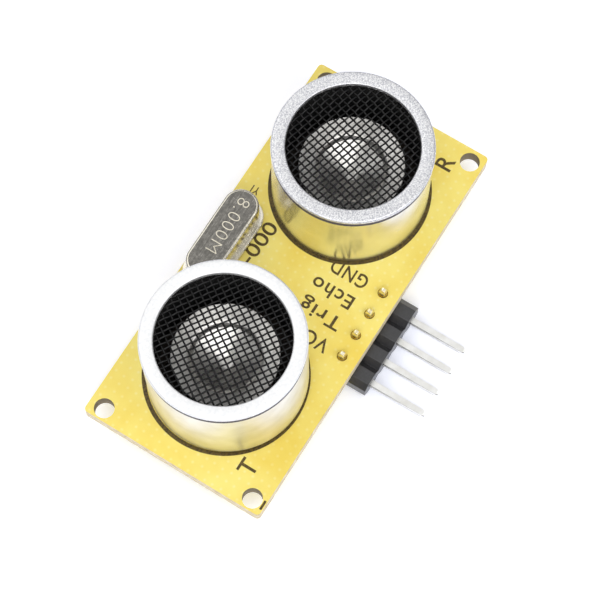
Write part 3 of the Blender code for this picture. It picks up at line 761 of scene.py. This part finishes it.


# the ring is drawn wider than the printed line and reaches in under the can's foot, so it is partly
# print and partly painted shade
def printedRing(name, centre):
    inner = printing["ringRadius"] - printing["inkAndShadeWidth"] / 2
    outer = printing["ringRadius"] + printing["inkAndShadeWidth"] / 2
    low, high = printing["lift"], printing["thick"]
    ring = turned(name, [(outer, high), (outer, low), (inner, low), (inner, high)],
                  printing["ringSteps"], [ink])
    settle(ring, Matrix.Translation(Vector((*centre, boardTop)) * mm))
    return keep(ring, "solder_mask_yellow")


def printedText(name, words, look):
    # words in solid letters, drawn at size 1 and then set to their cap height and full length
    bpy.ops.object.select_all(action="DESELECT")
    bpy.ops.object.text_add(location=(0, 0, 0))
    label = current()
    label.data.body = words
    label.data.space_character = look.get("spacing", 1.0)
    label.data.size = 1.0
    label.data.offset = look.get("weight", 0.0)
    label.data.resolution_u = printing["curveSteps"]
    bpy.ops.object.convert(target="MESH")
    label = current()
    across = [vert.co.x for vert in label.data.vertices]
    scale = look["cap"] * mm / capHeight
    wide = look["length"] * mm / (max(across) - min(across)) if "length" in look else scale
    editMode("FACE")
    bpy.ops.mesh.select_all(action="SELECT")
    thick = look.get("thick", printing["thick"]) * mm
    bpy.ops.mesh.extrude_region_move(TRANSFORM_OT_translate={"value": (0, 0, thick)})
    objectMode()
    centred = Matrix.Translation((-(max(across) + min(across)) / 2, -capHeight / 2, 0))
    height = look.get("height", boardTop + printing["lift"])
    where = Matrix.Translation(Vector((*look["centre"], height)) * mm)
    where = where @ Matrix.Rotation(math.radians(look["turn"]), 4, "Z")
    settle(label, where @ Matrix.Diagonal((wide, scale, 1, 1)) @ centred)
    closeUp(label, name, [look.get("material", ink)], 20)
    return keep(label, look.get("slot", "solder_mask_yellow"))


# the height of a capital in the built-in face, at size 1
bpy.ops.object.text_add(location=(0, 0, 0))
sample = current()
sample.data.body = "E"
bpy.ops.object.convert(target="MESH")
sample = current()
capHeight = max(v.co.y for v in sample.data.vertices) - min(v.co.y for v in sample.data.vertices)
bpy.data.objects.remove(sample)

ringPlaces = {"transmitterRing": (-11.375, 0.206), "receiverRing": (11.48, 0.203)}
for name, centre in ringPlaces.items():
    printedRing(name, centre)

# each name's middle along Y and its length
pinNames = {"VCC": (-4.67, 3.95), "Trig": (-4.24, 4.5), "Echo": (-4.08, 4.5), "GND": (-4.5, 3.95)}
pinLook = {"turn": 90, "cap": printing["pinCap"], "weight": 0.012, "spacing": 1.12}
pinShift = -0.03
for number, (words, (middle, length)) in enumerate(pinNames.items(), 1):
    stub = boxCentre(f"header_pin_{number}")
    printedText(f"pinName{number}", words,
                {**pinLook, "centre": (stub.x / mm + pinShift, middle), "length": length})
endLetter = {"turn": 0, "cap": printing["endCap"], "weight": 0.01}
printedText("transmitterLetter", "T", {**endLetter, "centre": (-18.1, -6.5)})
printedText("receiverLetter", "R", {**endLetter, "centre": (18.85, -6.45)})
printedText("serialNumber", "-000", {"centre": (1.76, 4.8), "turn": -4, "cap": 1.45, "length": 4.85,
                                     "weight": 0.008})
printedText("crystalName", "Y1", {"centre": (6.32, 8.05), "turn": 90, "cap": 0.8, "length": 0.85,
                                  "weight": 0.01})

# a short printed bar beside the corner hole
cornerBar = {"centre": (-20.48, -9.68), "size": (1.0, 0.24, 0.016), "lift": 0.01, "round": 0.06}
barCentre = Vector((*cornerBar["centre"], boardTop + cornerBar["lift"])) * mm
bpy.ops.object.select_all(action="DESELECT")
bpy.ops.mesh.primitive_cube_add(size=1, location=barCentre, scale=Vector(cornerBar["size"]) * mm)
tick = current()
settle(tick, tick.matrix_world.copy())
pick(tick, edges=isUpright)
bpy.ops.mesh.bevel(offset=cornerBar["round"] * mm, segments=3, affect="EDGES")
closeUp(tick, "cornerTick", [ink])
keep(tick, "solder_mask_yellow")
print("printing done")


# crystal: a flanged can welded to its base

crystalSizes = {"flange": (10.9, 4.3), "wall": 0.35, "flangeHigh": 0.22, "round": 0.28,
                "flangeBreak": 0.05, "slack": 0.02}
crystalMark = {"turn": 180, "cap": 1.3, "length": 6.3, "weight": -0.022, "spacing": 1.15,
               "thick": 0.012, "material": engraving, "slot": "nickel_silver"}
markPlace = {"shift": (0.9, -0.1), "lift": 0.001}


def makeCrystal():
    low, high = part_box("crystal_can")
    centre = (low + high) / 2
    height = (high.z - low.z) / mm
    can = lozenge("crystalCan", crystalSizes["flange"], 0, crystalSizes["flangeHigh"])
    pick(can, faces=lambda c, n: n.z > 0.9)
    bpy.ops.mesh.inset(thickness=crystalSizes["wall"] * mm)
    rise = height - crystalSizes["flangeHigh"]
    bpy.ops.mesh.extrude_region_move(TRANSFORM_OT_translate={"value": (0, 0, rise * mm)})
    pick(can, edges=lambda a, b: min(a.z, b.z) > height - 0.01)
    bpy.ops.mesh.bevel(offset=crystalSizes["round"] * mm, segments=4, affect="EDGES")
    length, width = crystalSizes["flange"]
    spine = (length - width) / 2
    reach = width / 2 - crystalSizes["slack"]

    def onFlangeRim(a, b):
        # level edges low on the can whose ends both lie on its outline
        level = abs(a.z - b.z) < 0.001 and a.z < crystalSizes["flangeHigh"] + 0.01
        return level and all(math.hypot(max(abs(p.x) - spine, 0), p.y) > reach for p in (a, b))

    pick(can, edges=onFlangeRim)
    bpy.ops.mesh.bevel(offset=crystalSizes["flangeBreak"] * mm, segments=2, affect="EDGES")
    closeUp(can, "crystalCan", [nickelSilver, nickelTopPaintedShade], 35)
    # the flat top gets the darker copy of the nickel silver: painted shade
    paint(can, lambda c, n: 1 if n.z > 0.99 and c.z > height - 0.02 else 0)
    settle(can, Matrix.Translation((centre.x, centre.y, low.z)))
    keep(can, "nickel_silver", "crystal_can")
    shiftX, shiftY = markPlace["shift"]
    printedText("crystalMark", "8.000M", {
        **crystalMark, "centre": (centre.x / mm + shiftX, centre.y / mm + shiftY),
        "height": high.z / mm + markPlace["lift"]})


makeCrystal()
keep(softCopy("crystal_base", "crystalBase", 0.06, [nickelSilver]), "nickel_silver", "crystal_base")
print("crystal done")


# header: moulding with broken edges, square pins, solder round the stubs

keep(softCopy("header_housing", "headerMoulding", 0.08, [headerBlack]), "header_nylon",
     "header_housing")
# a low collar round each stub: a wide foot, steep sides and a nearly flat top
collar = {"profile": [(0.2, 0.4), (0.3, 0.38), (0.4, 0.28), (0.42, 0.198), (0.44, 0.072), (0.52, 0.02),
                      (0.52, 0.0), (0.2, 0.0)], "steps": 24}
pinFaces = {"bareFrom": boardTop - 0.2, "sideways": 0.8}


def pinSlot(centre, normal):
    # the stub above the board is bare brass, and the pin's two sides facing along X carry painted shade
    if centre.z > pinFaces["bareFrom"]:
        return 1
    return 2 if abs(normal.x) > pinFaces["sideways"] else 0


solderMaster = turned("stubSolderMaster", collar["profile"], collar["steps"], [solderMetal], 50)
for number in range(1, 5):
    pin = softCopy(f"header_pin_{number}", f"headerPin{number}", 0.05, [tinnedPin, goldStub, pinSidePaintedShade])
    paint(pin, pinSlot)
    keep(pin, "tinned_brass", f"header_pin_{number}")
    place = boxCentre(f"header_joint_{number}")
    joint = settle(duplicateOf(solderMaster, f"headerSolder{number}"),
                   Matrix.Translation((place.x, place.y, boardHigh.z)))
    keep(joint, "solder", f"header_joint_{number}")
bpy.data.objects.remove(solderMaster)
print("header done")


# back of the board: chips with bright leads, and solder on every foot

blockThick = 0.02
backBoard = boardLow.z / mm + blockThick  # the printed block is the board's lowest face
backSizes = {"pitch": 1.27, "leadReach": 2.78, "chipHalf": 1.96, "transistorHalf": 0.66,
             "leadSolder": (0.95, 0.62, 0.17), "capFrom": 0.49, "capReach": 0.93,
             "endSolder": (0.5, 0.8, 0.24)}
# matt silvery ends
capMetal = grainedFinish("tinnedEndCap", "C9C7C0", "E6E4DD", 0.3, 1.0, 0.15, 0.15)


def chipWithLeads(nodeName, name, across, bodyHalf):
    # across is the axis that the leads reach out along
    middle = boxCentre(nodeName) / mm
    chip = softCopy(nodeName, name, 0.05, [epoxy, tinnedSteel])
    paint(chip, lambda c, n: 1 if abs(c[across] - middle[across]) > bodyHalf else 0)
    keep(chip, "moulding_epoxy", nodeName)
    return chip


def endCappedChip(nodeName, name, bodyMaterial, slot):
    low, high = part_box(nodeName)
    along = 0 if high.x - low.x > high.y - low.y else 1
    middle = boxCentre(nodeName) / mm
    chip = softCopy(nodeName, name, 0.03, [bodyMaterial, capMetal])
    paint(chip, lambda c, n: 1 if abs(c[along] - middle[along]) > backSizes["capFrom"] else 0)
    keep(chip, slot, nodeName)
    return along, middle


def solderWedge(name, sizes):
    # a low mound of solder: a block drawn in towards its top, with its corners rounded
    length, width, height = sizes
    drawnIn, roundShare = (0.55, 0.6, 1), 0.3
    bpy.ops.object.select_all(action="DESELECT")
    bpy.ops.mesh.primitive_cube_add(size=1, location=(0, 0, -height / 2 * mm),
                                    scale=(length * mm, width * mm, height * mm))
    wedge = current()
    bpy.ops.object.transform_apply(location=True, rotation=True, scale=True)
    pick(wedge, faces=lambda c, n: n.z < -0.9)
    bpy.ops.transform.resize(value=drawnIn, center_override=(0, 0, -height * mm))
    pick(wedge, edges=lambda a, b: min(a.z, b.z) < -height * 0.5)
    bpy.ops.mesh.bevel(offset=height * roundShare * mm, segments=3, affect="EDGES")
    return closeUp(wedge, name, [solderMetal], 60)


def copiesJoined(master, name, places):
    # one mesh of the master at every place, each a matrix
    whole = joined([settle(duplicateOf(master, name), where) for where in places])
    whole.name = name
    return whole


# each chip's name here and how many leads it has on a side
chipLeads = {"driver_ic": ("driverChip", 8), "controller_ic": ("controllerChip", 7),
             "amplifier_ic": ("amplifierChip", 7)}
leadSolder = solderWedge("leadSolderMaster", backSizes["leadSolder"])
for nodeName, (name, rows) in chipLeads.items():
    chipWithLeads(nodeName, name, 0, backSizes["chipHalf"])
    middle = boxCentre(nodeName) / mm
    spots = [(middle.x + side * backSizes["leadReach"],
              middle.y + (row - (rows - 1) / 2) * backSizes["pitch"])
             for side in (-1, 1) for row in range(rows)]
    feet = copiesJoined(leadSolder, name + "Solder", [
        Matrix.Translation(Vector((x, y, backBoard)) * mm) for x, y in spots])
    keep(feet, "solder")
bpy.data.objects.remove(leadSolder)

chipWithLeads("switch_transistor", "switchTransistor", 1, backSizes["transistorHalf"])
endSolder = solderWedge("endSolderMaster", backSizes["endSolder"])
chips = [f"capacitor_{i}" for i in range(1, 4)] + [f"resistor_{i}" for i in range(1, 6)]
for nodeName in chips:
    kind = "capacitor_ceramic" if nodeName.startswith("capacitor") else "resistor_glaze"
    name = nodeName.replace("_", "Chip")
    along, middle = endCappedChip(nodeName, name, finishes[kind], kind)
    spots = []
    for side in (-1, 1):
        place = Vector((middle.x, middle.y, backBoard))
        place[along] += side * backSizes["capReach"]
        spots.append(Matrix.Translation(place * mm) @ Matrix.Rotation(along * math.pi / 2, 4, "Z"))
    keep(copiesJoined(endSolder, name + "Solder", spots), "solder")
bpy.data.objects.remove(endSolder)
joints = ["crystal_joint_1", "crystal_joint_2"] + [f"transducer_joint_{i}" for i in range(1, 5)]
for nodeName in joints:
    owner, _, number = nodeName.split("_")
    joint = softCopy(nodeName, owner + "Solder" + number, 0, [solderMetal], angle=60)
    keep(joint, "solder", nodeName)
print("back done")
